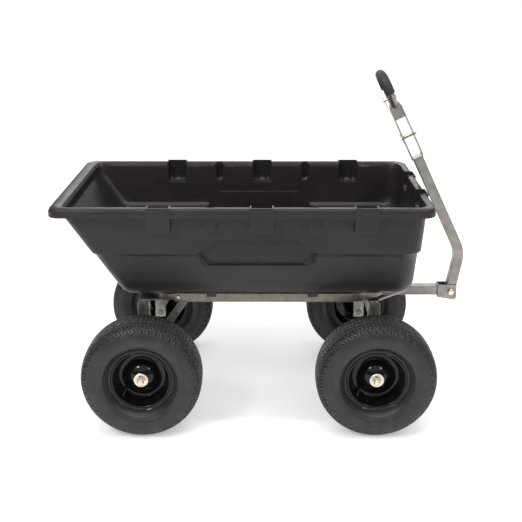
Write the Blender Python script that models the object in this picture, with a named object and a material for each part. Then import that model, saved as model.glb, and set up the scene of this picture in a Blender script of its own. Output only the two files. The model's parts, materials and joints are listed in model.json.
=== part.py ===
"""Dumping garden cart: a moulded tub on a U-shaped steel frame, a fixed rear axle, a steered front axle,
a bent pull handle with a hitch yoke and a D grip, and four pneumatic wheels.

Metres, +Z up. +X is the pulling direction, +Y is the left side, the ground is Z = 0.
Lengths along X are counted from the middle of the wheelbase, and ORIGIN_SHIFT moves that middle so that the
origin is under the centre of the whole cart's box."""

import math

import bmesh
import bpy
from mathutils import Matrix, Vector

# Driving dimensions
TYRE_RADIUS = 0.165
TYRE_HALF_WIDTH = 0.0635
TRACK = 0.5816
WHEELBASE = 0.6386
TUB_FLOOR_Z = 0.3715
TUB_RIM_Z = 0.6376
TUB_HALF_WIDTH = 0.310
TUBE = 0.0286                      # square tube of the tongue and the handle
HANDLE_LEAN = math.radians(26.0)   # backward lean of the handle's upper length
ORIGIN_SHIFT = -0.02503
GRIP_TUBE_RADIUS = 0.0100
GAP = 0.0003                       # between pieces that touch
SIDES = {"right": -1, "left": 1}   # the right side is -Y

# Derived places
AXLE_Z = TYRE_RADIUS
AXLE_X = {"rear": -WHEELBASE / 2, "front": WHEELBASE / 2}
WHEEL_Y = TRACK / 2
RAIL_TOP = TUB_FLOOR_Z - 0.0005
RAIL_HEIGHT = 0.0265
RAIL_WIDTH = 0.0254
RAIL_OUTER_Y = 0.203
RAIL_WALL = 0.002
FRAME_BOLT = (-0.2238, 0.3593)     # x, z of the bolts that join the rail and the rear crossbar
PIVOT = Vector((-0.326, 0, 0.360))         # dump hinge
KINGPIN = Vector((AXLE_X["front"], 0, 0.3))
CLEVIS_PIN = Vector((0.5680, 0, 0.3103))   # handle hinge
LATCH_PIN = Vector((0.3775, 0, 0.3545))
LEG_WIDTH = 0.032
LEG_WEB_Y = 0.190                  # inner face of each leg's web
RAIL_APEX_X = 0.3590               # front of the frame loop
AXLE_RADIUS = 0.008
HUB_FACE = 0.0345                  # how far each hub stands out from its wheel's middle
BODIES = {
    "chassis": Vector((0, 0, 0)),
    "steering": KINGPIN,
    "handle": CLEVIS_PIN,
    "tub": PIVOT,
    "latch": LATCH_PIN,
    "wheel_rear_right": Vector((AXLE_X["rear"], -WHEEL_Y, AXLE_Z)),
    "wheel_rear_left": Vector((AXLE_X["rear"], WHEEL_Y, AXLE_Z)),
    "wheel_front_right": Vector((AXLE_X["front"], -WHEEL_Y, AXLE_Z)),
    "wheel_front_left": Vector((AXLE_X["front"], WHEEL_Y, AXLE_Z)),
}
body_empties = {}


# ---------------------------------------------------------------- scene and helpers
def clear_scene():
    for obj in list(bpy.data.objects):
        bpy.data.objects.remove(obj)


def material(name, color, roughness, metallic):
    mat = bpy.data.materials.new(name)
    mat.use_nodes = True
    shader = mat.node_tree.nodes["Principled BSDF"]
    shader.inputs["Base Color"].default_value = (*color, 1)
    shader.inputs["Roughness"].default_value = roughness
    shader.inputs["Metallic"].default_value = metallic
    return mat


def make_bodies():
    """One empty on each moving body's joint axis. Each piece is parented to its body's empty."""
    for name, place in BODIES.items():
        empty = bpy.data.objects.new("body_" + name, None)
        empty.location = place + Vector((ORIGIN_SHIFT, 0, 0))
        bpy.context.scene.collection.objects.link(empty)
        body_empties[name] = empty


def finish(name, bm, body, mat, smooth=None):
    """Makes the named object from a bmesh in cart coordinates. smooth is the sharp-edge angle in degrees."""
    bmesh.ops.recalc_face_normals(bm, faces=bm.faces)
    mesh = bpy.data.meshes.new(name)
    bm.to_mesh(mesh)
    bm.free()
    mesh.transform(Matrix.Translation(-BODIES[body]))
    if smooth is not None:
        mesh.shade_smooth()
        mesh.set_sharp_from_angle(angle=math.radians(smooth))
    obj = bpy.data.objects.new(name, mesh)
    obj.data.materials.append(MATERIALS[mat])
    obj.parent = body_empties[body]
    bpy.context.scene.collection.objects.link(obj)
    return obj


def loft(bm, loops, closed=False):
    """Joins loops of equal length. An open loft gets an end face at each end; a closed one joins last to first."""
    rows = [[bm.verts.new(p) for p in loop] for loop in loops]
    pairs = list(zip(rows, rows[1:]))
    if closed:
        pairs.append((rows[-1], rows[0]))
    else:
        bm.faces.new(rows[0])
        bm.faces.new(rows[-1])
    for low, high in pairs:
        for i in range(len(low)):
            j = (i + 1) % len(low)
            bm.faces.new((low[i], low[j], high[j], high[i]))


def box(bm, low, high):
    low, high = Vector(low), Vector(high)
    size = Matrix.Diagonal((*(high - low), 1))
    bmesh.ops.create_cube(bm, size=1, matrix=Matrix.Translation((low + high) / 2) @ size)


def side_box(bm, side, x, y, z):
    """A box whose y range is counted outwards from the middle, on the side given as -1 or 1."""
    ends = sorted((side * y[0], side * y[1]))
    box(bm, (x[0], ends[0], z[0]), (x[1], ends[1], z[1]))


def turned(bm, profile, centre, axis, segments):
    """Turns a profile of (radius, distance along axis) about the axis. Radius 0 is a point on the axis."""
    axis = Vector(axis).normalized()
    turn = axis.to_track_quat("Z", "Y").to_matrix()
    rings = []
    for radius, along in profile:
        if radius == 0:
            rings.append([bm.verts.new(Vector(centre) + axis * along)] * segments)
            continue
        ring = []
        for i in range(segments):
            angle = 2 * math.pi * i / segments
            spoke = turn @ Vector((math.cos(angle), math.sin(angle), 0))
            ring.append(bm.verts.new(Vector(centre) + axis * along + spoke * radius))
        rings.append(ring)
    ends = list(zip(rings, rings[1:]))
    if profile[0][0] > 0:
        ends.append((rings[-1], rings[0]))
    for low, high in ends:
        for i in range(segments):
            j = (i + 1) % segments
            corners = list(dict.fromkeys((low[i], low[j], high[j], high[i])))
            bm.faces.new(corners)


def rod(bm, start, end, radius, segments=16):
    along = Vector(end) - Vector(start)
    turned(bm, [(0, 0), (radius, 0), (radius, along.length), (0, along.length)], start, along, segments)


def round_corners(points, radius, steps):
    """The open polyline with each inner corner replaced by an arc of that radius."""
    path = [points[0]]
    for before, corner, after in zip(points, points[1:], points[2:]):
        a, b = (before - corner).normalized(), (after - corner).normalized()
        half = a.angle(b) / 2
        middle = corner + (a + b).normalized() * radius / math.sin(half)
        first = corner + a * radius / math.tan(half) - middle
        last = corner + b * radius / math.tan(half) - middle
        for i in range(steps + 1):
            path.append(middle + first.slerp(last, i / steps).normalized() * radius)
    return path + [points[-1]]


def sweep(bm, path, up, width, height, wall=None):
    """A rectangular bar along a flat path; up is the normal of the path's plane. wall makes it a tube."""
    def frames():
        for i, point in enumerate(path):
            ahead = (path[min(i + 1, len(path) - 1)] - point).normalized()
            back = (point - path[max(i - 1, 0)]).normalized()
            tangent = (ahead + back).normalized()
            stretch = 1 / max(tangent.dot(ahead if ahead.length else back), 0.5)
            yield point, tangent.cross(up).normalized() * stretch

    def loops(w, h):
        return [[p + side * sx * w / 2 + up * sz * h / 2 for sx, sz in ((1, 1), (-1, 1), (-1, -1), (1, -1))]
                for p, side in frames()]

    outer = loops(width, height)
    if wall is None:
        loft(bm, outer)
    else:
        inner = loops(width - 2 * wall, height - 2 * wall)
        loft(bm, outer + inner[::-1], closed=True)


def plate(bm, outline, offset):
    """A flat outline pushed along offset into a solid."""
    loft(bm, [outline, [p + Vector(offset) for p in outline]])


def cutter(name, bm, body):
    """A hidden solid for a Boolean."""
    obj = finish(name, bm, body, "zinc")
    obj.hide_render = True
    obj.display_type = "WIRE"
    return obj


def boolean(obj, other, operation):
    modifier = obj.modifiers.new(operation.lower(), "BOOLEAN")
    modifier.operation = operation
    modifier.object = other
    modifier.solver = "EXACT"


def drill(obj, body, start, end, radius, segments=16):
    bm = bmesh.new()
    rod(bm, start, end, radius, segments)
    hole = cutter(f"{obj.name}_hole_{len(obj.modifiers)}", bm, body)
    boolean(obj, hole, "DIFFERENCE")


# ---------------------------------------------------------------- wheels
def make_wheel(body):
    """Tyre, pressed steel rim, bearing sleeve and valve stem of one wheel."""
    end, side = body.split("_")[1:]
    centre = BODIES[body]
    out = (0, SIDES[side], 0)
    r, w = TYRE_RADIUS, TYRE_HALF_WIDTH
    wall = [(0.0785, 0.0376), (0.0916, 0.0376), (0.1000, 0.0530), (0.1180, w),
            (r - 0.0290, w - 0.0010), (r - 0.0150, w - 0.0075), (r - 0.0050, w - 0.0215), (r, 0.0190)]
    lining = [(0.0785, 0.0300), (0.0960, 0.0350), (0.1200, w - 0.0090), (r - 0.0110, 0.0400)]
    profile = wall + [(a, -b) for a, b in wall[::-1]] + [(a, -b) for a, b in lining] + lining[::-1]
    bm = bmesh.new()
    turned(bm, profile, centre, out, 28)
    finish(f"tyre_{end}_{side}", bm, body, "rubber", 50)

    # The disc's middle is domed outwards to the hub
    back = [(0.0142, 0.0263), (0.0168, 0.0257), (0.0236, 0.0226), (0.0320, 0.0174), (0.0380, 0.0109),
            (0.0410, 0.0045), (0.0425, -0.0035), (0.0660, -0.0035), (0.0755, -0.0230), (0.0755, -0.0402),
            (0.0910, -0.0402), (0.0910, -0.0380), (0.0778, -0.0376)]
    front = [(0.0778, 0.0376), (0.0910, 0.0380), (0.0910, 0.0402), (0.0755, 0.0402), (0.0735, 0.0200),
             (0.0640, -0.0005), (0.0455, -0.0005), (0.0438, 0.0055), (0.0405, 0.0125), (0.0340, 0.0195),
             (0.0250, 0.0252), (0.0175, 0.0285), (0.0142, 0.0293)]
    bm = bmesh.new()
    turned(bm, back + front, centre, out, 20)
    finish(f"rim_{end}_{side}", bm, body, "gloss_black", 35)

    bore = (AXLE_RADIUS + GAP) / math.cos(math.pi / 16)
    bm = bmesh.new()
    turned(bm, [(bore, HUB_FACE), (bore, -0.0600), (0.0138, -0.0600), (0.0138, HUB_FACE)], centre, out, 16)
    finish(f"bearing_sleeve_{end}_{side}", bm, body, "black_steel", 35)

    angle = math.radians(222)
    spoke = Vector((math.cos(angle), 0, math.sin(angle)))
    foot = centre + spoke * 0.0600 + Vector(out) * 0.0013
    tip = centre + spoke * 0.0675 + Vector(out) * 0.0325
    bm = bmesh.new()
    turned(bm, [(0, 0), (0.0036, 0.0005), (0.0036, 0.018), (0.0028, 0.020), (0.0028, 0.0315), (0, 0.0320)],
           foot, tip - foot, 10)
    finish(f"valve_stem_{end}_{side}", bm, body, "rubber", 40)


# ---------------------------------------------------------------- axle bogies
def make_leg(body, end, side, top_z):
    """A U channel, open outwards, from under the frame down past the axle."""
    sign, x = SIDES[side], AXLE_X[end]
    thick, depth, half = 0.003, 0.020, LEG_WIDTH / 2
    section = [(-half, depth), (-half, 0), (half, 0), (half, depth), (half - thick, depth),
               (half - thick, thick), (thick - half, thick), (thick - half, depth)]
    bm = bmesh.new()
    loft(bm, [[(x + a, sign * (LEG_WEB_Y + b), z) for a, b in section] for z in (0.150, top_z)])
    leg = finish(f"{end}_leg_{side}", bm, body, "grey_paint")
    drill(leg, body, (x, sign * 0.180, AXLE_Z), (x, sign * 0.200, AXLE_Z), AXLE_RADIUS + GAP)


def make_stub_axle(body, end, side):
    """Stub axle and the washer-faced nut that keeps the wheel on."""
    x, sign = AXLE_X[end], SIDES[side]
    centre, out = (x, 0, AXLE_Z), (0, sign, 0)
    hub_face = WHEEL_Y + HUB_FACE
    bm = bmesh.new()
    turned(bm, [(0, 0.186), (AXLE_RADIUS, 0.186), (AXLE_RADIUS, hub_face + 0.0135), (0, hub_face + 0.0135)],
           centre, out, 16)
    finish(f"stub_axle_{end}_{side}", bm, body, "zinc", 35)
    bore = (AXLE_RADIUS + GAP) / math.cos(math.pi / 12)
    face = hub_face + GAP
    bm = bmesh.new()
    turned(bm, [(bore, face), (0.0205, face), (0.0205, face + 0.002), (0.0125, face + 0.0025),
                (0.0125, face + 0.0100), (bore, face + 0.0100)], centre, out, 12)
    finish(f"axle_nut_{end}_{side}", bm, body, "zinc", 35)


def make_rear_bogie():
    x = AXLE_X["rear"]
    back, front, half_y = x - LEG_WIDTH / 2, x + 0.0633, 0.1930
    top, thick = 0.3497, 0.0034
    bm = bmesh.new()
    box(bm, (back, -half_y, top - thick), (front, half_y, top))
    axle_plate = finish("rear_axle_plate", bm, "chassis", "grey_paint")
    lugs = bmesh.new()
    for side, sign in SIDES.items():
        make_leg("chassis", "rear", side, top - thick - GAP)
        make_stub_axle("chassis", "rear", side)

        # Diagonal brace: a flat strap from the rail's underside to the inner face of the leg
        upper, lower = Vector((-0.2089, 0, RAIL_TOP - RAIL_HEIGHT - GAP)), Vector((-0.3170, 0, 0.1850))
        along = (upper - lower).normalized()
        across = Vector((along.z, 0, -along.x)) * 0.0105
        cut = across + along * across.z / -along.z   # the top end is cut level, along the rail
        outline = [upper + cut, upper - cut]
        for i in range(7):
            turn = Matrix.Rotation(math.pi * i / 6, 3, "Y")
            outline.append(lower - turn @ across)
        inner = sign * (LEG_WEB_Y - GAP - 0.003)
        bm = bmesh.new()
        plate(bm, [p + Vector((0, inner, 0)) for p in outline], (0, sign * 0.003, 0))
        finish(f"rear_brace_{side}", bm, "chassis", "grey_paint")

        # Lug that stands on the plate and carries the dump hinge pin
        outline = [PIVOT + Vector((0.0077 * math.cos(a), 0, 0.0077 * math.sin(a)))
                   for a in (math.pi * i / 8 for i in range(9))]
        outline += [Vector((PIVOT.x - 0.0077, 0, top - 0.001)), Vector((PIVOT.x + 0.0077, 0, top - 0.001))]
        plate(lugs, [p + Vector((0, sign * 0.1475, 0)) for p in outline], (0, sign * 0.005, 0))
    boolean(axle_plate, cutter("pivot_lugs", lugs, "chassis"), "UNION")
    for sign in SIDES.values():
        drill(axle_plate, "chassis", PIVOT + Vector((0, sign * 0.140, 0)), PIVOT + Vector((0, sign * 0.160, 0)),
              0.0045)

    bm = bmesh.new()
    turned(bm, [(0, -0.1620), (0.0068, -0.1620), (0.0068, -0.1580), (0.004, -0.1580), (0.004, 0.1620),
                (0, 0.1620)], PIVOT, (0, 1, 0), 16)
    finish("hinge_pin", bm, "chassis", "zinc", 35)


def make_front_bogie():
    x, half = AXLE_X["front"], LEG_WIDTH / 2
    top, thick, foot, half_y = 0.3437, 0.0035, 0.3050, LEG_WEB_Y - GAP
    section = [(-half, foot), (-half, top), (half, top), (half, foot), (half - thick, foot),
               (half - thick, top - thick), (thick - half, top - thick), (thick - half, foot)]
    bm = bmesh.new()
    loft(bm, [[(x + a, y, z) for a, z in section] for y in (-half_y, half_y)])
    beam = finish("front_axle_beam", bm, "steering", "grey_paint")
    drill(beam, "steering", (x, 0, 0.325), (x, 0, 0.350), 0.0075)
    for side, sign in SIDES.items():
        make_leg("steering", "front", side, top)
        make_stub_axle("steering", "front", side)

    # King plate inside the front of the frame loop, the kingpin and its nut
    seat = 0.3500
    bm = bmesh.new()
    box(bm, (x - 0.0570, -0.0840, top + GAP), (RAIL_APEX_X - RAIL_WIDTH - GAP, 0.0840, seat))
    king_plate = finish("king_plate", bm, "chassis", "grey_paint")
    drill(king_plate, "chassis", (x, 0, 0.325), (x, 0, 0.360), 0.0075)
    bm = bmesh.new()
    turned(bm, [(0, seat + 0.0085), (0.0108, seat + 0.0085), (0.0108, seat + GAP), (0.007, seat + GAP),
                (0.007, 0.3200), (0, 0.3200)], (x, 0, 0), (0, 0, 1), 18)
    finish("kingpin", bm, "steering", "zinc", 35)
    bore = (0.007 + GAP) / math.cos(math.pi / 18)
    under = top - thick - GAP
    bm = bmesh.new()
    turned(bm, [(bore, under), (0.0118, under), (0.0118, under - 0.011), (bore, under - 0.011)],
           (x, 0, 0), (0, 0, 1), 18)
    finish("kingpin_nut", bm, "steering", "zinc", 35)

    # Tongue, its two round braces, and the clevis on its end
    start, end = x + half + GAP, 0.5285
    centre_z = 0.3125
    bm = bmesh.new()
    sweep(bm, [Vector((start, 0, centre_z)), Vector((end, 0, centre_z))], Vector((0, 0, 1)), TUBE, TUBE, 0.002)
    finish("tongue", bm, "steering", "grey_paint")
    for side, sign in SIDES.items():
        r = 0.0045
        inner = Vector((0.4480, sign * (TUBE / 2 + GAP), 0.3205))
        outer = Vector((start + r + 0.0005, sign * 0.1170, 0.3205))
        ring = [Vector((r * math.cos(a), 0, r * math.sin(a))) for a in (math.tau * i / 10 for i in range(10))]
        bm = bmesh.new()
        loft(bm, [[p + q for q in ring] for p in (inner, outer)])
        finish(f"tongue_brace_{side}", bm, "steering", "grey_paint", 60)

    half_y, thick = 0.0150, 0.0035
    back = end + GAP
    outline = [(back, 0.3305), (0.5850, 0.3305), (0.5850, 0.2900), (0.5800, 0.2855), (0.5700, 0.2865),
               (back, 0.2930)]
    bm = bmesh.new()
    plate(bm, [Vector((a, -half_y - thick, z)) for a, z in outline], (0, 2 * (half_y + thick), 0))
    clevis = finish("clevis", bm, "steering", "grey_paint")
    bm = bmesh.new()
    box(bm, (back + thick, -half_y, 0.2700), (0.6000, half_y, 0.3500))
    boolean(clevis, cutter("clevis_slot", bm, "steering"), "DIFFERENCE")
    drill(clevis, "steering", CLEVIS_PIN + Vector((0, -0.03, 0)), CLEVIS_PIN + Vector((0, 0.03, 0)), 0.0053)
    face = half_y + thick + GAP
    bm = bmesh.new()
    turned(bm, [(0, face + 0.0065), (0.0070, face + 0.0060), (0.0095, face + 0.0040), (0.0095, face),
                (0.005, face), (0.005, -face - 0.0100), (0, -face - 0.0100)], CLEVIS_PIN, (0, -1, 0), 16)
    finish("clevis_bolt", bm, "steering", "zinc", 35)
    bore = (0.005 + GAP) / math.cos(math.pi / 16)
    bm = bmesh.new()
    turned(bm, [(bore, -face), (0.0090, -face), (0.0090, -face - 0.0080), (bore, -face - 0.0080)],
           CLEVIS_PIN, (0, -1, 0), 16)
    finish("clevis_nut", bm, "steering", "zinc", 35)


# ---------------------------------------------------------------- frame
def make_frame():
    up = Vector((0, 0, 1))
    mid_z = RAIL_TOP - RAIL_HEIGHT / 2
    rail_y = RAIL_OUTER_Y - RAIL_WIDTH / 2
    apex = RAIL_APEX_X - RAIL_WIDTH / 2
    corners = [Vector((x, y, mid_z)) for x, y in
               ((-0.2340, -rail_y), (apex, -rail_y), (apex, rail_y), (-0.2340, rail_y))]
    bm = bmesh.new()
    sweep(bm, round_corners(corners, 0.1023, 8), up, RAIL_WIDTH, RAIL_HEIGHT, RAIL_WALL)
    rail = finish("frame_rail", bm, "chassis", "rail_paint", 30)

    # The rear crossbar is a smaller tube whose ends slide inside the rail's ends
    width = RAIL_WIDTH - 2 * RAIL_WALL - 2 * GAP
    height = 0.0186
    bar_z = RAIL_TOP - 0.0024 - height / 2
    corners = [Vector((x, y, bar_z)) for x, y in
               ((-0.1950, -rail_y), (-0.2900, -rail_y), (-0.2900, rail_y), (-0.1950, rail_y))]
    bm = bmesh.new()
    sweep(bm, round_corners(corners, 0.045, 6), up, width, height, RAIL_WALL)
    crossbar = finish("rear_crossbar", bm, "chassis", "rail_paint", 30)

    x, z = FRAME_BOLT
    for side, sign in SIDES.items():
        for obj in (rail, crossbar):
            drill(obj, "chassis", (x, sign * 0.150, z), (x, sign * 0.230, z), 0.0043, 12)
        head, nut = RAIL_OUTER_Y + GAP, RAIL_OUTER_Y - RAIL_WIDTH - GAP
        bm = bmesh.new()
        turned(bm, [(0, head + 0.0050), (0.0045, head + 0.0042), (0.0066, head + 0.0012), (0.0066, head),
                    (0.004, head), (0.004, nut), (0.0075, nut), (0.0075, nut - 0.0065), (0, nut - 0.0065)],
               (x, 0, z), (0, sign, 0), 12)
        finish(f"frame_bolt_{side}", bm, "chassis", "zinc", 35)


# ---------------------------------------------------------------- tub
def tub_loop(z, rear, front, half_y, rear_radius, front_radius, steps=5):
    """A rounded rectangle at height z, counter-clockwise from the right front corner."""
    loop = []
    for x, sx, y, radius in ((front, -1, -1, front_radius), (front, -1, 1, front_radius),
                             (rear, 1, 1, rear_radius), (rear, 1, -1, rear_radius)):
        centre = Vector((x + sx * radius, y * (half_y - radius), z))
        first = {(-1, -1): -90, (-1, 1): 0, (1, 1): 90, (1, -1): 180}[(sx, y)]
        for i in range(steps + 1):
            a = math.radians(first + 90 * i / steps)
            loop.append(centre + Vector((math.cos(a), math.sin(a), 0)) * radius)
    return loop


def make_tub():
    floor, top, half_y = TUB_FLOOR_Z, TUB_RIM_Z, TUB_HALF_WIDTH
    levels = [
        # outside, floor to rim: height, rear x, front x, half width, rear and front corner radius
        (floor, -0.3590, 0.3960, 0.1970, 0.022, 0.036), (floor + 0.0040, -0.3675, 0.4085, 0.2110, 0.025, 0.042),
        (floor + 0.0130, -0.3760, 0.4192, 0.2225, 0.027, 0.046), (floor + 0.0265, -0.3835, 0.4245, 0.2310, 0.028, 0.048),
        (floor + 0.0425, -0.3925, 0.4260, 0.2390, 0.030, 0.048), (0.4980, -0.4395, 0.4285, 0.2680, 0.030, 0.048),
        (0.5065, -0.4480, 0.4365, 0.2760, 0.030, 0.048), (0.6060, -0.5150, 0.4435, 0.2805, 0.028, 0.042),
        (top - 0.0076, -0.5200, 0.4450, 0.2830, 0.028, 0.040), (top - 0.0096, -0.5445, 0.4585, 0.3065, 0.030, 0.036),
        (top - 0.0248, -0.5445, 0.4585, 0.3065, 0.030, 0.036), (top - 0.0248, -0.5495, 0.4625, half_y, 0.034, 0.038),
        # rolled rim
        (top - 0.0106, -0.5495, 0.4625, half_y, 0.034, 0.038), (top - 0.0030, -0.5460, 0.4595, 0.3070, 0.032, 0.036),
        (top, -0.5385, 0.4525, 0.2995, 0.028, 0.032), (top, -0.5260, 0.4455, 0.2885, 0.026, 0.032),
        (top - 0.0031, -0.5175, 0.4405, 0.2815, 0.026, 0.035),
        # inside, rim to floor
        (top - 0.0126, -0.5120, 0.4390, 0.2780, 0.026, 0.036), (0.6040, -0.5105, 0.4385, 0.2765, 0.026, 0.038),
        (0.5100, -0.4450, 0.4330, 0.2725, 0.027, 0.044), (0.5025, -0.4365, 0.4250, 0.2640, 0.027, 0.044),
        (floor + 0.0435, -0.3885, 0.4220, 0.2350, 0.027, 0.044), (floor + 0.0295, -0.3795, 0.4205, 0.2270, 0.025, 0.044),
        (floor + 0.0175, -0.3720, 0.4145, 0.2185, 0.024, 0.042), (floor + 0.0080, -0.3640, 0.4045, 0.2075, 0.022, 0.038),
        (floor + 0.0040, -0.3550, 0.3920, 0.1940, 0.019, 0.032),
    ]
    bm = bmesh.new()
    loft(bm, [tub_loop(*level) for level in levels])
    tub = finish("tub", bm, "tub", "tub_plastic", 40)

    added, removed = bmesh.new(), bmesh.new()
    for sign in SIDES.values():
        for x in STAKE_POCKETS_X:
            side_box(added, sign, (x - 0.031, x + 0.031), (0.2772, half_y + 0.0007), (0.572, top + 0.0025))
            side_box(removed, sign, (x - 0.027, x + 0.027), (0.2600, half_y - 0.004), (0.576, top + 0.02))
        for x in DIVIDER_SLOTS_X:
            side_box(added, sign, (x - 0.0155, x + 0.0155), (0.2772, 0.2955), (0.575, top - 0.004))
            side_box(removed, sign, (x - 0.0095, x + 0.0095), (0.2600, 0.2915), (0.579, top + 0.02))
        for x in RAIL_TABS_X:
            side_box(added, sign, (x - 0.0135, x + 0.0135), (RAIL_OUTER_Y + 0.0006, 0.2118),
                     (RAIL_TOP - 0.008, RAIL_TOP + 0.0065))
        y = sign * 0.115
        box(added, (0.4390, y - 0.031, 0.585), (0.4640, y + 0.031, top + 0.0012))
        box(removed, (0.4200, y - 0.027, 0.589), (0.4598, y + 0.027, top + 0.02))
        for solid, grow, inner, outer in ((added, 0, 0.2535, 0.2705), (removed, -0.003, 0.2595, 0.2900)):
            outline = [Vector((x, sign * inner, z)) for x, z in hexagon(grow)]
            plate(solid, outline, (0, sign * (outer - inner), 0))
    boolean(tub, cutter("tub_added", added, "tub"), "UNION")
    boolean(tub, cutter("tub_removed", removed, "tub"), "DIFFERENCE")


def hexagon(grow):
    """The long six-sided panel moulded into each side wall, as (x, z)."""
    return [(-0.1630 - grow, 0.5070), (-0.1370 - grow, 0.4710 - grow), (0.1300 + grow, 0.4710 - grow),
            (0.1600 + grow, 0.5070), (0.1240 + grow, 0.5490 + grow), (-0.1280 - grow, 0.5490 + grow)]


STAKE_POCKETS_X = (-0.261, 0.008, 0.280)
DIVIDER_SLOTS_X = (-0.127, 0.143)
RAIL_TABS_X = (-0.131, 0.148)


def make_tub_hinges():
    """A bracket under the tub's floor on each side, with two ears on the hinge pin."""
    under = TUB_FLOOR_Z - GAP
    for side, sign in SIDES.items():
        bm = bmesh.new()
        side_box(bm, sign, (PIVOT.x - 0.017, PIVOT.x + 0.0225), (0.1300, 0.1700), (under - 0.003, under))
        bracket = finish(f"hinge_bracket_{side}", bm, "tub", "grey_paint")
        ears = bmesh.new()
        for inner in (0.1430, 0.1540):
            outline = [PIVOT + Vector((0.0085 * math.cos(a), 0, 0.0085 * math.sin(a)))
                       for a in (-math.pi * i / 8 for i in range(9))]
            outline += [Vector((PIVOT.x - 0.0085, 0, under - 0.001)), Vector((PIVOT.x + 0.0085, 0, under - 0.001))]
            plate(ears, [p + Vector((0, sign * inner, 0)) for p in outline], (0, sign * 0.003, 0))
        boolean(bracket, cutter(f"hinge_ears_{side}", ears, "tub"), "UNION")
        drill(bracket, "tub", PIVOT + Vector((0, sign * 0.135, 0)), PIVOT + Vector((0, sign * 0.165, 0)), 0.0045)


# ---------------------------------------------------------------- dump latch
def make_latch():
    """A hook on the front of the frame and the striker bar under the tub that it swings back over."""
    x, z = LATCH_PIN.x, LATCH_PIN.z
    ears, slot = bmesh.new(), bmesh.new()
    back = RAIL_APEX_X + GAP
    box(ears, (back, -0.0235, 0.3462), (x + 0.0065, 0.0235, 0.3615))
    box(slot, (back + 0.0022, -0.0205, 0.3400), (x + 0.0200, 0.0205, 0.3700))
    bracket = finish("latch_bracket", ears, "chassis", "grey_paint")
    boolean(bracket, cutter("latch_bracket_slot", slot, "chassis"), "DIFFERENCE")
    drill(bracket, "chassis", (x, -0.030, z), (x, 0.030, z), 0.0034, 12)

    # Lever, drawn released: a claw above the cross rod and a pull tab in front of it
    claw = [(-0.0067, 0.0067), (-0.0088, 0.0088), (-0.0048, 0.0115), (0.0, 0.0125), (0.0050, 0.0040),
            (0.0225, 0.0010), (0.0225, -0.0020), (0.0040, -0.0045), (-0.0040, -0.0045), (-0.0046, 0.0010),
            (-0.0030, 0.0088)]
    bm = bmesh.new()
    plate(bm, [LATCH_PIN + Vector((a, -0.0140, b)) for a, b in claw], (0, 0.0280, 0))
    lever = finish("latch_lever", bm, "latch", "zinc", 30)
    bm = bmesh.new()
    rod(bm, LATCH_PIN + Vector((0, -0.0250, 0)), LATCH_PIN + Vector((0, 0.0250, 0)), 0.003, 12)
    boolean(lever, cutter("latch_rod", bm, "latch"), "UNION")

    under = TUB_FLOOR_Z - GAP
    bm, window = bmesh.new(), bmesh.new()
    box(bm, (0.3640, -0.0200, 0.3530), (0.3675, 0.0200, under))
    box(window, (0.3600, -0.0170, 0.3560), (0.3700, 0.0170, under - 0.0030))
    striker = finish("latch_striker", bm, "tub", "zinc")
    boolean(striker, cutter("latch_window", window, "tub"), "DIFFERENCE")


# ---------------------------------------------------------------- handle
def handle_line():
    """The handle's corner points: its foot, the bend, and the top of the tube."""
    foot = Vector((0.5642, 0, 0.2925))
    bend = Vector((0.5891, 0, 0.4304))
    top = bend + Vector((-math.sin(HANDLE_LEAN), 0, math.cos(HANDLE_LEAN))) * 0.3108
    return foot, bend, top


def make_handle():
    foot, bend, top = handle_line()
    bm = bmesh.new()
    sweep(bm, round_corners([foot, bend, top], 0.090, 6), Vector((0, 1, 0)), TUBE, TUBE, 0.002)
    tube = finish("handle_tube", bm, "handle", "grey_paint", 30)
    drill(tube, "handle", CLEVIS_PIN + Vector((0, -0.03, 0)), CLEVIS_PIN + Vector((0, 0.03, 0)), 0.0054)

    along = (top - bend).normalized()
    ahead = Vector((along.z, 0, -along.x))    # square to the handle, towards +X
    side = Vector((0, 1, 0))

    def at(s, e, y=0.0):
        """A point s above the tube's top along the handle, e ahead of its centre line."""
        return top + along * s + ahead * e + side * y

    # Hitch yoke: a U of flat strap, its foot on the tube's end
    inner, outer, half_w, end = 0.0145, 0.0172, 0.0160, 0.1630
    profile = [(0.0003, -0.0150), (0.0080, -outer), (end, -outer), (end, -inner), (0.0095, -inner),
               (0.0050, -0.0115), (0.0050, 0.0115), (0.0095, inner), (end, inner), (end, outer),
               (0.0080, outer), (0.0003, 0.0150)]
    bm = bmesh.new()
    plate(bm, [at(s, e, -half_w) for s, e in profile], (0, 2 * half_w, 0))
    yoke = finish("hitch_yoke", bm, "handle", "grey_paint")

    # Hitch pin and grip lock pin across the yoke, each with a spring clip through its rear end
    for name, s, radius, front, tip, hole in (("hitch_pin", 0.0700, 0.0045, 0.0250, -0.0206, -0.0190),
                                              ("grip_lock_pin", 0.1900, 0.0035, 0.0165, -0.0245, -0.0200)):
        if name == "hitch_pin":
            drill(yoke, "handle", at(s, -0.030), at(s, 0.030), radius + GAP, 12)
        bm = bmesh.new()
        turned(bm, [(0, 0), (radius * 1.5, 0.0010), (radius * 1.5, 0.0045), (radius, 0.0045),
                    (radius, front - tip), (0, front - tip)], at(s, front), -ahead, 12)
        pin = finish(name, bm, "handle", "zinc", 35)
        drill(pin, "handle", at(s - 0.01, hole), at(s + 0.01, hole), 0.0010, 8)
        bm = bmesh.new()
        sweep(bm, [at(s - 0.014, hole), at(s + 0.014, hole)], side, 0.0013, 0.0013)
        finish(name + "_clip", bm, "handle", "zinc")

    # D grip: a square shank between the straps, a loop of round tube, and a foam sleeve on the loop
    shank_low, shank_top, half = 0.1270, 0.1720, 0.0145
    bm = bmesh.new()
    box_loop = [(-half, -0.0130), (half, -0.0130), (half, 0.0130), (-half, 0.0130)]
    loft(bm, [[at(s, e, y) for e, y in box_loop] for s in (shank_low, shank_top)])
    shank = finish("grip_frame", bm, "handle", "grey_paint")
    return at, shank_top, shank


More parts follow.
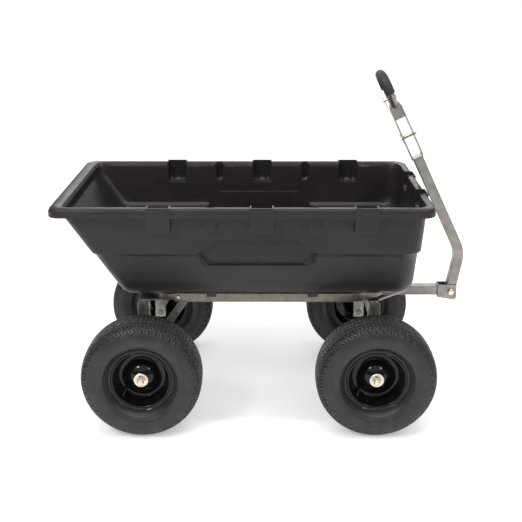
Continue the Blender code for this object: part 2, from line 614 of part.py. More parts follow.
def grip_loop_points(at, shank_top):
    """The loop's centre line: from the shank out to one side, round the top and back."""
    foot, shoulder, crown = shank_top - 0.0050, 0.2080, 0.2585
    half_width = 0.0500
    corners = [at(foot, 0, -0.0150), at(shoulder, 0, -half_width), at(crown, 0, -half_width),
               at(crown, 0, half_width), at(shoulder, 0, half_width), at(foot, 0, 0.0150)]
    return round_corners(corners, 0.0300, 5)


def round_tube(bm, path, normal, radius, segments, hollow=None):
    """A round tube along a flat path whose plane has that normal; hollow is the bore's radius."""
    def loops(r):
        made = []
        for i, point in enumerate(path):
            ahead = path[min(i + 1, len(path) - 1)] - path[max(i - 1, 0)]
            side = ahead.normalized().cross(normal).normalized()
            made.append([point + side * r * math.cos(a) + normal * r * math.sin(a)
                         for a in (math.tau * k / segments for k in range(segments))])
        return made

    if hollow is None:
        loft(bm, loops(radius))
    else:
        loft(bm, loops(radius) + loops(hollow)[::-1], closed=True)


def make_grip(at, shank_top, shank):
    path = grip_loop_points(at, shank_top)
    normal = (at(0, 1) - at(0, 0)).normalized()
    bm = bmesh.new()
    round_tube(bm, path, normal, GRIP_TUBE_RADIUS, 10)
    boolean(shank, cutter("grip_loop", bm, "handle"), "UNION")
    bm = bmesh.new()
    box(bm, (-0.0060, -0.0200, -0.0060), (0.0060, 0.0200, 0.0280))
    turn = (at(0, 1) - at(0, 0)).normalized()
    along = (at(1, 0) - at(0, 0)).normalized()
    frame = Matrix((turn, Vector((0, 1, 0)), along)).transposed().to_4x4()
    bm.transform(Matrix.Translation(at(shank_top, 0)) @ frame)
    boolean(shank, cutter("grip_web", bm, "handle"), "UNION")
    drill(shank, "handle", at(0.1900, -0.03), at(0.1900, 0.03), 0.0038, 12)
    sleeve = path[4:-4]
    bm = bmesh.new()
    round_tube(bm, sleeve, normal, 0.0138, 10, GRIP_TUBE_RADIUS + 2 * GAP)
    finish("grip_sleeve", bm, "handle", "foam", 50)


clear_scene()
MATERIALS = {
    "tub_plastic": material("tub_plastic", (0.035, 0.032, 0.031), 0.55, 0.0),
    "rail_paint": material("rail_paint", (0.23, 0.20, 0.17), 0.38, 0.6),
    "grey_paint": material("grey_paint", (0.30, 0.29, 0.27), 0.42, 0.5),
    "rubber": material("rubber", (0.045, 0.045, 0.047), 0.75, 0.0),
    "gloss_black": material("gloss_black", (0.012, 0.012, 0.013), 0.15, 0.0),
    "black_steel": material("black_steel", (0.03, 0.03, 0.03), 0.4, 0.6),
    "zinc": material("zinc", (0.75, 0.64, 0.38), 0.3, 1.0),
    "foam": material("foam", (0.03, 0.03, 0.03), 0.85, 0.0),
}
make_bodies()
make_frame()
make_rear_bogie()
make_front_bogie()
make_tub()
make_tub_hinges()
make_latch()
make_grip(*make_handle())
for wheel in [name for name in BODIES if name.startswith("wheel_")]:
    make_wheel(wheel)
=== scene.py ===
"""Looks of the dumping garden cart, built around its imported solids.

Metres, +Z up. +X is the pulling direction and the right side is -Y. The tub and the steel pieces are their
CAD solids with rounded edges. The tyres, rims, axle ends, nuts, clips and welds are modelled here in full."""

import json
import math

import bmesh
import bpy
from mathutils import Matrix, Vector

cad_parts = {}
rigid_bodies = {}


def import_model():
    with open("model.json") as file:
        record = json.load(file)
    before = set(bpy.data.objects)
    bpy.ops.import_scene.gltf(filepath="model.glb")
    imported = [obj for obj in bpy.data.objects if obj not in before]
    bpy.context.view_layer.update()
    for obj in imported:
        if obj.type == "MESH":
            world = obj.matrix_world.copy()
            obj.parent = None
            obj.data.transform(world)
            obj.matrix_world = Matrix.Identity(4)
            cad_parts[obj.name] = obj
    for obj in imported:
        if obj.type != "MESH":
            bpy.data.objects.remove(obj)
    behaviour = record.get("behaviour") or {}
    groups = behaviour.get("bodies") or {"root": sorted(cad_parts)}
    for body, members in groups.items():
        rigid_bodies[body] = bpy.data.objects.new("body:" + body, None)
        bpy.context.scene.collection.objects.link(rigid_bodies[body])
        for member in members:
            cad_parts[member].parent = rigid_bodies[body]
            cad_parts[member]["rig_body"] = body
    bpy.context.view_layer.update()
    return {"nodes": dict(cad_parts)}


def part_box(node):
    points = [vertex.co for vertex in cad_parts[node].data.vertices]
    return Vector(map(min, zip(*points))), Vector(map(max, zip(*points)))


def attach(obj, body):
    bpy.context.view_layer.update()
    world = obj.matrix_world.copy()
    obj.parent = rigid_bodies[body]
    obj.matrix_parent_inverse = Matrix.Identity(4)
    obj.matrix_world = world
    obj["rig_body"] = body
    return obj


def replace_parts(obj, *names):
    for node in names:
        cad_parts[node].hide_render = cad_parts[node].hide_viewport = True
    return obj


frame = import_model()
NODES = frame["nodes"]

HANDLE_LEAN = math.radians(26.0)                 # backward lean of the handle's upper length
ALONG = Vector((-math.sin(HANDLE_LEAN), 0, math.cos(HANDLE_LEAN)))   # up the handle
WHEELS = ("rear_right", "rear_left", "front_right", "front_left")
SIDES = (("right", -1), ("left", 1))             # each side with the sign of its Y

FLOOR_HALF_SIZE = 60
WORLD_AS_LIGHT, WORLD_AS_SEEN = 0.26, 1.0
OVERHEAD_ENERGY, OVERHEAD_SPREAD = 1.7, math.radians(110)
LAMP_AIM = Vector((0, 0, 0.35))
LAMPS = (                                        # name, place, width and height, watts
    ("key", (-1.7, -2.2, 2.6), (0.6, 0.7), 34),
    ("fill", (2.0, -2.3, 2.2), (0.35, 0.8), 14),
    ("back", (0.2, 3.0, 1.9), (3.0, 1.0), 30),
    ("top", (0.0, -0.5, 2.4), (2.4, 0.14), 30),
)
CAMERA_PLACE = (-0.0139, -2.6563, 1.2527)
CAMERA_DIP, CAMERA_TURN = math.radians(17.81), math.radians(0.13)
CAMERA_LENS, CAMERA_SENSOR = 65.04, 36.0         # millimetres


# ---------------------------------------------------------------- materials
class Shader:
    """A Principled material whose colour, roughness and surface come from procedural patterns."""

    def __init__(self, name, metallic=0.0, coat=0.0, specular=0.5):
        self.mat = bpy.data.materials.new(name)
        self.mat.use_nodes = True
        self.nodes, self.links = self.mat.node_tree.nodes, self.mat.node_tree.links
        self.shader = self.nodes["Principled BSDF"]
        self.shader.inputs["Metallic"].default_value = metallic
        self.shader.inputs["Coat Weight"].default_value = coat
        self.shader.inputs["Coat Roughness"].default_value = 0.06
        self.shader.inputs["Specular IOR Level"].default_value = specular
        self.place = self.nodes.new("ShaderNodeTexCoord").outputs["Object"]

    def noise(self, scale, detail=4.0, stretch=(1, 1, 1)):
        turn = self.nodes.new("ShaderNodeMapping")
        turn.inputs["Scale"].default_value = stretch
        self.links.new(self.place, turn.inputs["Vector"])
        node = self.nodes.new("ShaderNodeTexNoise")
        node.inputs["Scale"].default_value = scale
        node.inputs["Detail"].default_value = detail
        self.links.new(turn.outputs["Vector"], node.inputs["Vector"])
        return node.outputs["Fac"]

    def cells(self, scale):
        node = self.nodes.new("ShaderNodeTexVoronoi")
        node.inputs["Scale"].default_value = scale
        self.links.new(self.place, node.inputs["Vector"])
        return node.outputs["Distance"]

    def colour(self, pattern, stops):
        ramp = self.nodes.new("ShaderNodeValToRGB")
        band = ramp.color_ramp
        band.elements[0].position, band.elements[0].color = stops[0][0], (*stops[0][1], 1)
        band.elements[1].position, band.elements[1].color = stops[-1][0], (*stops[-1][1], 1)
        for place, value in stops[1:-1]:
            band.elements.new(place).color = (*value, 1)
        self.links.new(pattern, ramp.inputs["Fac"])
        self.links.new(ramp.outputs["Color"], self.shader.inputs["Base Color"])
        return self

    def roughness(self, pattern, low, high):
        node = self.nodes.new("ShaderNodeMapRange")
        node.inputs["From Min"].default_value = 0.3
        node.inputs["From Max"].default_value = 0.7
        node.inputs["To Min"].default_value = low
        node.inputs["To Max"].default_value = high
        self.links.new(pattern, node.inputs["Value"])
        self.links.new(node.outputs["Result"], self.shader.inputs["Roughness"])
        return self

    def bumps(self, *layers):
        """Each layer is (pattern, strength, height in metres)."""
        before = None
        for pattern, strength, height in layers:
            node = self.nodes.new("ShaderNodeBump")
            node.inputs["Strength"].default_value = strength
            node.inputs["Distance"].default_value = height
            self.links.new(pattern, node.inputs["Height"])
            if before is not None:
                self.links.new(before, node.inputs["Normal"])
            before = node.outputs["Normal"]
        self.links.new(before, self.shader.inputs["Normal"])
        return self


def tub_plastic():
    """Moulded polyethylene with a fine grain and faint drag marks."""
    s = Shader("tub_plastic", specular=0.30)
    s.colour(s.noise(9, 5), [(0.3, (0.0135, 0.0112, 0.0104)), (0.7, (0.0200, 0.0168, 0.0156))])
    s.roughness(s.noise(14, 6, (1, 1, 3)), 0.30, 0.42)
    s.bumps((s.cells(520), 0.35, 0.0004), (s.noise(70, 5), 0.15, 0.0012))
    return s.mat


def powder_coat(name, dark, light, low, high, metallic):
    """Powder-coated steel: a metallic grey with orange peel."""
    s = Shader(name, metallic)
    s.colour(s.noise(45, 7), [(0.32, dark), (0.68, light)])
    s.roughness(s.noise(24, 5), low, high)
    s.bumps((s.noise(640, 3), 0.18, 0.0003), (s.noise(90, 4), 0.10, 0.0006))
    return s.mat


def tyre_rubber():
    """Rubber with a dusty bloom."""
    s = Shader("tyre_rubber", specular=0.36)
    s.colour(s.noise(38, 8), [(0.28, (0.013, 0.013, 0.0130)), (0.55, (0.020, 0.0195, 0.0190)),
                              (0.75, (0.034, 0.032, 0.029))])
    s.roughness(s.noise(60, 6), 0.34, 0.50)
    s.bumps((s.noise(700, 3), 0.25, 0.0003), (s.noise(120, 4), 0.12, 0.0008))
    return s.mat


def gloss_paint():
    """Wet-look black enamel with a little dust in it."""
    s = Shader("gloss_black", specular=0.28)
    s.colour(s.noise(30, 6), [(0.3, (0.0030, 0.0030, 0.0031)), (0.72, (0.0065, 0.0064, 0.0064))])
    s.roughness(s.noise(26, 6), 0.06, 0.13)
    s.bumps((s.noise(55, 3), 0.04, 0.0008))
    return s.mat


def dark_steel():
    """Blackened steel, a little worn."""
    s = Shader("dark_steel", 0.7)
    s.colour(s.noise(80, 6), [(0.3, (0.025, 0.024, 0.023)), (0.7, (0.050, 0.048, 0.045))])
    s.roughness(s.noise(50, 5), 0.30, 0.48)
    s.bumps((s.noise(500, 3), 0.2, 0.0002))
    return s.mat


def zinc(name, tint):
    """Passivated zinc plating, its tint drifting over the piece."""
    s = Shader(name, 1.0)
    pale = tuple(0.5 + 0.45 * c for c in tint)
    s.colour(s.noise(110, 5), [(0.30, tuple(0.72 * c for c in tint)), (0.5, tint), (0.72, pale)])
    s.roughness(s.noise(150, 5), 0.20, 0.38)
    s.bumps((s.noise(800, 3), 0.2, 0.0002))
    return s.mat


def foam():
    """Closed-cell foam rubber."""
    s = Shader("foam")
    s.colour(s.noise(90, 6), [(0.3, (0.010, 0.010, 0.010)), (0.7, (0.022, 0.022, 0.022))])
    s.roughness(s.noise(120, 4), 0.55, 0.80)
    s.bumps((s.cells(900), 0.5, 0.0005), (s.noise(300, 4), 0.2, 0.0005))
    return s.mat


MATERIALS = {
    "tub": tub_plastic(),
    "rail": powder_coat("rail_paint", (0.118, 0.103, 0.087), (0.165, 0.146, 0.125), 0.20, 0.34, 0.8),
    "grey": powder_coat("grey_paint", (0.215, 0.205, 0.193), (0.290, 0.278, 0.262), 0.26, 0.40, 0.75),
    # a lighter copy of the grey paint for the legs and hinge brackets: painted light that makes up for the
    # shade under the tub
    "bright": powder_coat("painted_light_bracket_paint", (0.400, 0.385, 0.360), (0.520, 0.502, 0.475), 0.20, 0.34, 0.8),
    "rubber": tyre_rubber(),
    "gloss": gloss_paint(),
    "dark": dark_steel(),
    "yellow_zinc": zinc("yellow_zinc", (0.78, 0.66, 0.40)),
    "pale_zinc": zinc("pale_zinc", (0.60, 0.55, 0.43)),
    "foam": foam(),
}


# ---------------------------------------------------------------- helpers
def add_piece(name, mesh, body, look, place=None):
    """Links a mesh as a named piece that rides on a CAD body."""
    obj = bpy.data.objects.new(name, mesh)
    if not mesh.materials:
        mesh.materials.append(MATERIALS[look])
    bpy.context.scene.collection.objects.link(obj)
    if place is not None:
        obj.matrix_world = place
    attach(obj, body)
    return obj


def mesh_of(name, bm, smooth=True, turn_out=True):
    """Turns a bmesh into a mesh and frees it. turn_out makes every face point outwards."""
    if turn_out:
        bmesh.ops.recalc_face_normals(bm, faces=bm.faces)
    mesh = bpy.data.meshes.new(name)
    bm.to_mesh(mesh)
    bm.free()
    if smooth:
        mesh.shade_smooth()
    return mesh


def body_of(node):
    """The body that a CAD node rides on."""
    return NODES[node]["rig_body"]


def rounded(node, look, wide, narrow=None, angle=28, big_face=3e-4, segments=3, sharp=None, flat=1.0):
    """A CAD solid with its outer edges rounded. Edges between large faces get the wide radius.

    Convex edges over angle are rounded, and faces over big_face square metres count as large. Faces within flat
    degrees of each other are joined first. sharp is the angle from which edges shade as creases; without it the
    normals follow the larger faces."""
    narrow = wide if narrow is None else narrow
    bm = bmesh.new()
    bm.from_mesh(NODES[node].data)
    bmesh.ops.remove_doubles(bm, verts=bm.verts, dist=1e-5)
    bmesh.ops.dissolve_limit(bm, angle_limit=math.radians(flat), verts=bm.verts, edges=bm.edges)
    weights = bm.edges.layers.float.new("bevel_weight_edge")
    for edge in bm.edges:
        if len(edge.link_faces) == 2 and edge.calc_face_angle(0) > math.radians(angle) and edge.is_convex:
            large = min(face.calc_area() for face in edge.link_faces) > big_face
            edge[weights] = 1.0 if large else narrow / wide
    mesh = mesh_of(node + "_surface", bm, turn_out=False)
    if sharp is not None:
        mesh.set_sharp_from_angle(angle=math.radians(sharp))
    obj = add_piece(node + "_surface", mesh, body_of(node), look)
    bevel = obj.modifiers.new("rounded_edges", "BEVEL")
    bevel.width, bevel.segments, bevel.limit_method = wide, segments, "WEIGHT"
    bevel.use_clamp_overlap = False
    bevel.miter_outer = "MITER_ARC"
    if sharp is None:
        obj.modifiers.new("flat_faces", "WEIGHTED_NORMAL").weight = 80
    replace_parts(obj, node)
    return obj


def revolve(bm, profile, segments, centre=(0, 0, 0), axis="Y"):
    """Turns a profile of (radius, distance along the axis) about an axis through centre."""
    rows = []
    for radius, along in profile:
        ring = []
        for i in range(segments):
            a = math.tau * i / segments
            c, s = radius * math.cos(a), radius * math.sin(a)
            local = {"Y": (c, along, s), "Z": (c, s, along)}[axis]
            ring.append(bm.verts.new(Vector(centre) + Vector(local)))
        rows.append(ring)
    return rows


def skin(bm, rows, closed=False):
    """Quads between neighbouring rings; closed joins the last ring to the first."""
    for low, high in zip(rows, rows[1:] + (rows[:1] if closed else [])):
        for i in range(len(low)):
            j = (i + 1) % len(low)
            bm.faces.new((low[i], low[j], high[j], high[i]))


def spline(points, count):
    """A Catmull-Rom curve through 2-D points, as count points evenly spaced along its length."""
    dense = []
    padded = [points[0], *points, points[-1]]
    for p0, p1, p2, p3 in zip(padded, padded[1:], padded[2:], padded[3:]):
        for i in range(12):
            t = i / 12
            dense.append(tuple(0.5 * (2 * b + (c - a) * t + (2 * a - 5 * b + 4 * c - d) * t * t
                                      + (3 * b - a - 3 * c + d) * t ** 3)
                               for a, b, c, d in zip(p0, p1, p2, p3)))
    dense.append(points[-1])
    lengths = [0.0]
    for a, b in zip(dense, dense[1:]):
        lengths.append(lengths[-1] + math.dist(a, b))
    made, k = [], 0
    for i in range(count):
        want = lengths[-1] * i / (count - 1)
        while k < len(lengths) - 2 and lengths[k + 1] < want:
            k += 1
        t = (want - lengths[k]) / max(lengths[k + 1] - lengths[k], 1e-9)
        made.append(tuple(a + (b - a) * min(t, 1) for a, b in zip(dense[k], dense[k + 1])))
    return made


def wire(name, path, radius, body, look, ripple=0.0, segments=10):
    """A round rod along a path. ripple makes it a weld bead."""
    bm = bmesh.new()
    rows = []
    side = None
    for i, point in enumerate(path):
        ahead = (path[min(i + 1, len(path) - 1)] - path[max(i - 1, 0)]).normalized()
        if side is None:
            side = ahead.orthogonal().normalized()
        side = (side - ahead * side.dot(ahead)).normalized()
        up = ahead.cross(side)
        end = min(i, len(path) - 1 - i)
        r = radius * (0.55 if end == 0 else 0.92 if end == 1 else 1.0) * (1 + ripple * math.sin(i * 2.1))
        rows.append([bm.verts.new(point + (side * math.cos(a) + up * math.sin(a)) * r)
                     for a in (math.tau * k / segments for k in range(segments))])
    skin(bm, rows)
    bm.faces.new(rows[0])
    bm.faces.new(rows[-1])
    return add_piece(name, mesh_of(name, bm), body, look)


def weld(name, start, end, radius, body, look="grey"):
    """A weld bead from start to end."""
    start, end = Vector(start), Vector(end)
    steps = max(4, round((end - start).length / 0.0016))
    path = [start.lerp(end, i / steps) for i in range(steps + 1)]
    return wire(name, path, radius, body, look, ripple=0.16, segments=8)


# ---------------------------------------------------------------- wheels
TREAD_PITCHES = 96
COLUMNS_PER_PITCH = 5
GROOVE_DEPTH = 0.0028


def tyre_half_profile():
    """(radius, offset) from the bead over the outer sidewall to the crown."""
    return [(0.0830, 0.0379), (0.0900, 0.0385), (0.0935, 0.0440), (0.1000, 0.0525), (0.1090, 0.0594),
            (0.1180, 0.0619), (0.1270, 0.0621), (0.1360, 0.0614), (0.1440, 0.0592), (0.1500, 0.0560),
            (0.1560, 0.0504), (0.1606, 0.0425), (0.1633, 0.0325), (0.1645, 0.0190), (0.1649, 0.0)]


def tread_height(crown, column, shoulder):
    """How far the surface drops into the tread's grooves, at a distance from the crown line."""
    pitch, step = divmod(column, COLUMNS_PER_PITCH)
    end = shoulder - (0.0 if pitch % 2 else 0.0055)
    fade = max(0.0, min(1.0, (end - crown) / 0.004))
    across = 1.0 if step == 0 else 0.0
    zigzag = 0.0022 * (abs((column % (2 * COLUMNS_PER_PITCH)) / COLUMNS_PER_PITCH - 1) * 2 - 1)
    around = 0.0
    for row in (0.0, 0.0175, 0.0350, 0.0510):
        if abs(crown - row - zigzag) < 0.0016:
            around = 0.85
    return -GROOVE_DEPTH * max(across, around) * fade


def tyre_mesh():
    """A turf tyre: smooth sidewalls with raised rings, and zigzag lugs that wrap over the shoulders."""
    half = spline(tyre_half_profile(), 66)
    profile = half + [(r, -y) for r, y in half[-2::-1]]
    travelled, total = [0.0], 0.0
    for a, b in zip(profile, profile[1:]):
        total += math.dist(a, b)
        travelled.append(total)
    shoulder = next(abs(total / 2 - d) for d, (r, y) in zip(travelled, profile) if r > 0.1415)
    columns = TREAD_PITCHES * COLUMNS_PER_PITCH
    bm = bmesh.new()
    rows = []
    for i, (radius, offset) in enumerate(profile):
        before, after = profile[max(i - 1, 0)], profile[min(i + 1, len(profile) - 1)]
        tangent = Vector((after[0] - before[0], after[1] - before[1])).normalized()
        normal = Vector((-tangent.y, tangent.x))
        if normal.dot(Vector((radius - 0.12, offset))) < 0:
            normal = -normal
        crown = abs(total / 2 - travelled[i])
        wave = crown / 0.0090
        zig = (abs(wave % 2 - 1) - 0.5) * 0.62
        ring_bead = sum(h * math.exp(-((radius - r) / w) ** 2)
                        for r, h, w in ((0.1290, 0.0010, 0.0013), (0.1025, 0.0008, 0.0011),
                                        (0.1385, -0.0006, 0.0008)))
        if abs(offset) < 0.04:
            ring_bead = 0.0
        row = []
        for column in range(columns):
            height = ring_bead + (tread_height(crown, column, shoulder) if crown < shoulder else 0)
            r, y = radius + normal.x * height, offset + normal.y * height
            a = math.tau * (column + zig * COLUMNS_PER_PITCH) / columns
            row.append(bm.verts.new((r * math.cos(a), y, r * math.sin(a))))
        rows.append(row)
    skin(bm, rows, closed=True)
    mesh = mesh_of("tyre_form", bm)
    mesh.set_sharp_from_angle(angle=math.radians(38))
    return mesh


def rim_mesh():
    """A pressed steel rim, its outer face towards -Y: rolled flange, stepped barrel and domed middle."""
    front = [(0.0880, 0.0379), (0.0900, 0.0380), (0.0909, 0.0388), (0.0905, 0.0396), (0.0894, 0.0400),
             (0.0882, 0.0398), (0.0872, 0.0389), (0.0862, 0.0379), (0.0846, 0.0374), (0.0830, 0.0379),
             (0.0818, 0.0389), (0.0806, 0.0398), (0.0790, 0.0401), (0.0774, 0.0397), (0.0762, 0.0385),
             (0.0756, 0.0365), (0.0752, 0.0310), (0.0744, 0.0240), (0.0735, 0.0205),
             (0.0726, 0.0180), (0.0712, 0.0165), (0.0700, 0.0150), (0.0694, 0.0120), (0.0682, 0.0088),
             (0.0664, 0.0050), (0.0650, 0.0018), (0.0630, -0.0004), (0.0600, -0.0014), (0.0560, -0.0012),
             (0.0510, 0.0002), (0.0472, 0.0020), (0.0452, 0.0038), (0.0440, 0.0062), (0.0424, 0.0096),
             (0.0405, 0.0125), (0.0374, 0.0162), (0.0340, 0.0193), (0.0297, 0.0224), (0.0250, 0.0250),
             (0.0212, 0.0269), (0.0175, 0.0283), (0.0150, 0.0290), (0.0142, 0.0286)]
    back = [(0.0142, 0.0265), (0.0175, 0.0256), (0.0236, 0.0226), (0.0320, 0.0174), (0.0380, 0.0109),
            (0.0410, 0.0045), (0.0422, -0.0020), (0.0440, -0.0033), (0.0640, -0.0034), (0.0662, -0.0042),
            (0.0700, -0.0120), (0.0746, -0.0220), (0.0755, -0.0260), (0.0756, -0.0385), (0.0775, -0.0398),
            (0.0830, -0.0396), (0.0885, -0.0401), (0.0907, -0.0394), (0.0905, -0.0381), (0.0860, -0.0379),
            (0.0780, -0.0375), (0.0775, -0.0300), (0.0770, 0.0300), (0.0780, 0.0366),
            (0.0846, 0.0366)]
    bm = bmesh.new()
    skin(bm, revolve(bm, [(r, -y) for r, y in front + back], 96), closed=True)
    mesh = mesh_of("rim_form", bm)
    mesh.set_sharp_from_angle(angle=math.radians(50))
    return mesh


def axle_nut_mesh(face):
    """Washer and chamfered hex nut, both with the axle's bore. face is the hub's outer face from the middle."""
    bm = bmesh.new()
    washer = [(0.0086, 0.0003), (0.0190, 0.0003), (0.0196, 0.0008), (0.0196, 0.0018), (0.0189, 0.0023),
              (0.0090, 0.0023), (0.0086, 0.0019)]
    skin(bm, revolve(bm, [(r, -face - y) for r, y in washer], 48), closed=True)
    rows = []
    for inset, y in ((1.0, 0.0026), (1.0, 0.0084), (0.965, 0.0096)):
        row = []
        for i in range(48):
            a = math.tau * i / 48
            flat = math.cos(math.pi / 6) / math.cos((a % (math.pi / 3)) - math.pi / 6)
            r = min(0.0124 * flat, 0.0124 * inset * 0.97 if inset < 1 else 1)
            row.append(bm.verts.new((r * math.cos(a), -face - y, r * math.sin(a))))
        rows.append(row)
    bore = revolve(bm, [(0.0092, -face - 0.0096), (0.0086, -face - 0.0088), (0.0086, -face - 0.0026)], 48)
    skin(bm, rows + bore, closed=True)
    mesh = mesh_of("axle_nut_form", bm)
    mesh.set_sharp_from_angle(angle=math.radians(25))
    return mesh


def stub_axle_mesh(inner, outer):
    """A rod along Y with a chamfered, centre-drilled outer end and rolled thread near it."""
    profile = [(0.0, inner), (0.0070, inner), (0.0079, inner + 0.001)]
    thread = outer - 0.0150
    profile.append((0.0079, thread))
    turns = 9
    for i in range(turns):
        y = thread + 0.0004 + (outer - 0.0018 - thread) * i / turns
        profile += [(0.0074, y + 0.0003), (0.0079, y + 0.0009)]
    profile += [(0.0079, outer - 0.0014), (0.0067, outer), (0.0022, outer), (0.0012, outer - 0.0012),
                (0.0, outer - 0.0016)]
    bm = bmesh.new()
    skin(bm, revolve(bm, [(r, -y) for r, y in profile], 32))
    bmesh.ops.remove_doubles(bm, verts=bm.verts, dist=1e-6)
    mesh = mesh_of("stub_axle_form", bm)
    mesh.set_sharp_from_angle(angle=math.radians(40))
    mesh.materials.append(MATERIALS["pale_zinc"])
    mesh.materials.append(MATERIALS["grey"])
    for face in mesh.polygons:
        face.material_index = int(-face.center.y < (inner + outer) / 2)   # the painted inner half
    return mesh


def make_wheels():
    """The four wheels. The left ones are the right ones turned about."""
    tyre, rim = tyre_mesh(), rim_mesh()
    sleeve_low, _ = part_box("bearing_sleeve_rear_right")
    tyre_low, tyre_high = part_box("tyre_rear_right")
    middle = (tyre_low + tyre_high) / 2
    nut = axle_nut_mesh(middle.y - sleeve_low.y)
    axle_low, axle_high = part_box("stub_axle_rear_right")
    axle = stub_axle_mesh(middle.y - axle_high.y, middle.y - axle_low.y)
    for wheel in WHEELS:
        low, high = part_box("tyre_" + wheel)
        place = Matrix.Translation((low + high) / 2)
        if wheel.endswith("left"):
            place = place @ Matrix.Rotation(math.pi, 4, "Z")
        spin, carrier = "wheel_" + wheel, body_of("stub_axle_" + wheel)
        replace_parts(add_piece("tyre_tread_" + wheel, tyre, spin, "rubber", place), "tyre_" + wheel)
        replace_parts(add_piece("rim_pressing_" + wheel, rim, spin, "gloss", place), "rim_" + wheel)
        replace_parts(add_piece("axle_nut_and_washer_" + wheel, nut, carrier, "pale_zinc", place),
                    "axle_nut_" + wheel)
        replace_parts(add_piece("threaded_axle_" + wheel, axle, carrier, "pale_zinc", place),
                    "stub_axle_" + wheel)
        rounded("bearing_sleeve_" + wheel, "dark", 0.0006, sharp=40)
        rounded("valve_stem_" + wheel, "rubber", 0.0004, sharp=40)


# ---------------------------------------------------------------- frame, axles, tongue
def make_steelwork():
    """Frame, axles, tongue, handle, latch, bolts and pins."""
    rounded("frame_rail", "rail", 0.0026, 0.0008)
    rounded("rear_crossbar", "rail", 0.0022, 0.0008)
    for node in ("rear_axle_plate", "front_axle_beam", "king_plate", "clevis", "hitch_yoke"):
        rounded(node, "grey", 0.0010, 0.0006)
    for node in ("tongue", "handle_tube"):
        rounded(node, "grey", 0.0030, 0.0008)
    rounded("grip_frame", "grey", 0.0008, 0.0005, sharp=40)
    for side, _ in SIDES:
        for node in ("rear_leg_", "front_leg_", "hinge_bracket_"):
            # the legs and hinge brackets take the lighter copy of the grey paint, painted light against the
            # shade under the tub
            rounded(node + side, "bright", 0.0009, 0.0006)
        rounded("rear_brace_" + side, "grey", 0.0009, 0.0006)
        rounded("tongue_brace_" + side, "grey", 0.0005, sharp=50)
        rounded("frame_bolt_" + side, "yellow_zinc", 0.0006, sharp=40)
    rounded("latch_bracket", "grey", 0.0006)
    for node in ("latch_lever", "latch_striker"):
        rounded(node, "pale_zinc", 0.0004)
    for node in ("clevis_bolt", "clevis_nut", "kingpin", "kingpin_nut"):
        rounded(node, "yellow_zinc", 0.0006, sharp=40)
    # the hinge pin is blackened so that it reads as the shade under the tub's rear: painted shade
    rounded("hinge_pin", "dark", 0.0006, sharp=40)
    for node in ("hitch_pin", "grip_lock_pin"):
        rounded(node, "pale_zinc", 0.0005, sharp=40)


def make_welds():
    """Beads where the steel pieces meet."""
    for end in ("rear", "front"):
        for side, sign in SIDES:
            low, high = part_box(f"{end}_leg_{side}")
            y = sign * (min(abs(low.y), abs(high.y)) + (0.0032 if end == "rear" else -0.0004))
            body = body_of(f"{end}_leg_{side}")
            z = high.z - (0.0004 if end == "rear" else 0.0019)     # the front ones pass under the rail
            weld(f"weld_{end}_leg_{side}", (low.x + 0.003, y, z), (high.x - 0.003, y, z), 0.0016, body)
    low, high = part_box("tongue")
    for name, z in (("top", high.z), ("bottom", low.z)):
        weld(f"weld_tongue_{name}", (low.x + 0.0006, low.y + 0.002, z), (low.x + 0.0006, high.y - 0.002, z),
             0.0018, "steering")
        weld(f"weld_clevis_{name}", (high.x, low.y + 0.002, z), (high.x, high.y - 0.002, z), 0.0016, "steering")
    for name, y in (("right", low.y), ("left", high.y)):
        weld(f"weld_clevis_{name}", (high.x, y, low.z + 0.003), (high.x, y, high.z - 0.003), 0.0016, "steering")
    yoke_low, yoke_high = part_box("hitch_yoke")
    foot = Vector((yoke_high.x, 0, yoke_low.z))
    for name, ahead in (("front", 0.0006), ("rear", 0.0288)):
        start = foot + Vector((-math.cos(HANDLE_LEAN) * ahead, 0, -math.sin(HANDLE_LEAN) * ahead))
        start += Vector((-0.0012, 0, 0.0124)) if name == "front" else Vector((-0.0034, 0, 0.0133))
        weld(f"weld_yoke_{name}", start + Vector((0, -0.0125, 0)), start + Vector((0, 0.0125, 0)), 0.0016,
             "handle")
    low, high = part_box("latch_bracket")
    for name, z in (("top", high.z), ("bottom", low.z)):
        weld(f"weld_latch_{name}", (low.x, low.y + 0.003, z), (low.x, high.y - 0.003, z), 0.0012, "chassis")


# ---------------------------------------------------------------- tub
def make_tub():
    """The moulding with rounded edges, its long faces cut small so that they shade evenly."""
    obj = rounded("tub", "tub", 0.0012, 0.0008, angle=26, big_face=1e-4, segments=2, flat=0.02)
    obj.modifiers.remove(obj.modifiers["flat_faces"])
    bpy.context.view_layer.update()
    shape = obj.evaluated_get(bpy.context.evaluated_depsgraph_get()).to_mesh()
    bm = bmesh.new()
    bm.from_mesh(shape)
    bmesh.ops.triangulate(bm, faces=bm.faces)
    for longest in (0.30, 0.15, 0.08, 0.045, 0.026, 0.026):      # each round halves the edges over this
        bmesh.ops.subdivide_edges(bm, edges=[e for e in bm.edges if e.calc_length() > longest], cuts=1)
        bmesh.ops.triangulate(bm, faces=[f for f in bm.faces if len(f.verts) > 3])
    bm.to_mesh(obj.data)
    bm.free()
    obj.modifiers.clear()
    obj.data.shade_smooth()
    obj.data.set_sharp_from_angle(angle=math.radians(40))
    even = obj.modifiers.new("flat_faces", "WEIGHTED_NORMAL")
    even.weight, even.keep_sharp = 80, True


# ---------------------------------------------------------------- pins and grip
def hairpin(name, centre, length, spread, radius):
    """A spring clip: one straight leg through the pin, a coil at the top and a waved second leg."""
    side = Vector((0, 1, 0))
    path = [centre - ALONG * length * 0.5, centre, centre + ALONG * length * 0.34]
    coil = centre + ALONG * length * 0.36 + side * spread / 2
    for i in range(9):
        a = math.pi * i / 8
        path.append(coil - side * math.cos(a) * spread / 2 + ALONG * math.sin(a) * spread * 0.6)
    for t, bulge in ((0.22, 0.9), (0.10, 0.75), (0.0, 1.15), (-0.10, 0.75), (-0.25, 0.95), (-0.36, 1.25)):
        path.append(centre + ALONG * length * t + side * spread * bulge)
    return wire(name, path, radius, "handle", "pale_zinc")


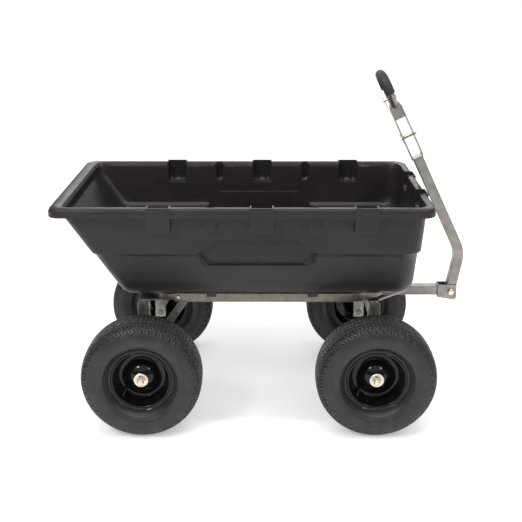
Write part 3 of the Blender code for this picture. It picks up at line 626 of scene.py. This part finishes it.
def make_clips():
    """The two spring clips, in place of their CAD bars."""
    for node, length, shift, spread in (("hitch_pin_clip", 0.030, 0.0, 0.0062),
                                        ("grip_lock_pin_clip", 0.040, -0.010, 0.0052)):
        low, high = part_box(node)
        clip = hairpin(node + "_wire", (low + high) / 2 + ALONG * shift, length, spread, 0.00065)
        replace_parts(clip, node)


def make_sleeve():
    """The grip's foam sleeve."""
    obj = rounded("grip_sleeve", "foam", 0.0012, sharp=60)


# ---------------------------------------------------------------- stage
def make_floor():
    bm = bmesh.new()
    bmesh.ops.create_grid(bm, x_segments=1, y_segments=1, size=FLOOR_HALF_SIZE)
    mesh = bpy.data.meshes.new("floor")
    bm.to_mesh(mesh)
    bm.free()
    floor = bpy.data.objects.new("floor", mesh)
    bpy.context.scene.collection.objects.link(floor)
    paper = Shader("floor_paper")
    paper.colour(paper.noise(3, 3), [(0.3, (0.86, 0.86, 0.86)), (0.7, (0.88, 0.88, 0.88))])
    paper.roughness(paper.noise(5, 2), 0.80, 0.90)
    paper.shader.inputs["Emission Color"].default_value = (1, 1, 1, 1)
    paper.shader.inputs["Emission Strength"].default_value = 0.36
    mesh.materials.append(paper.mat)


def make_world():
    """White where the camera sees it, dim as a light."""
    world = bpy.data.worlds.new("studio")
    bpy.context.scene.world = world
    world.use_nodes = True
    nodes, links = world.node_tree.nodes, world.node_tree.links
    nodes["Background"].inputs["Color"].default_value = (1, 1, 1, 1)
    strength = nodes.new("ShaderNodeMapRange")
    strength.inputs["To Min"].default_value = WORLD_AS_LIGHT
    strength.inputs["To Max"].default_value = WORLD_AS_SEEN
    links.new(nodes.new("ShaderNodeLightPath").outputs["Is Camera Ray"], strength.inputs["Value"])
    links.new(strength.outputs["Result"], nodes["Background"].inputs["Strength"])


def make_lamps():
    sky = bpy.data.lights.new("overhead", "SUN")
    sky.energy, sky.angle = OVERHEAD_ENERGY, OVERHEAD_SPREAD
    obj = bpy.data.objects.new("overhead", sky)
    obj.rotation_euler = (math.radians(12), math.radians(-6), 0)
    bpy.context.scene.collection.objects.link(obj)
    for name, place, size, power in LAMPS:
        lamp = bpy.data.lights.new(name, "AREA")
        lamp.shape, lamp.size, lamp.size_y, lamp.energy = "RECTANGLE", *size, power
        obj = bpy.data.objects.new(name, lamp)
        obj.location = place
        obj.rotation_euler = (LAMP_AIM - Vector(place)).to_track_quat("-Z", "Y").to_euler()
        bpy.context.scene.collection.objects.link(obj)


def make_camera():
    scene = bpy.context.scene
    camera = bpy.data.cameras.new("camera")
    camera.sensor_width, camera.lens = CAMERA_SENSOR, CAMERA_LENS
    obj = bpy.data.objects.new("camera", camera)
    obj.location = CAMERA_PLACE
    obj.rotation_euler = (math.radians(90) - CAMERA_DIP, 0, CAMERA_TURN)
    scene.collection.objects.link(obj)
    scene.camera = obj
    scene.view_settings.view_transform = "Standard"


make_wheels()
make_steelwork()
make_welds()
make_tub()
make_clips()
make_sleeve()
make_floor()
make_world()
make_lamps()
make_camera()
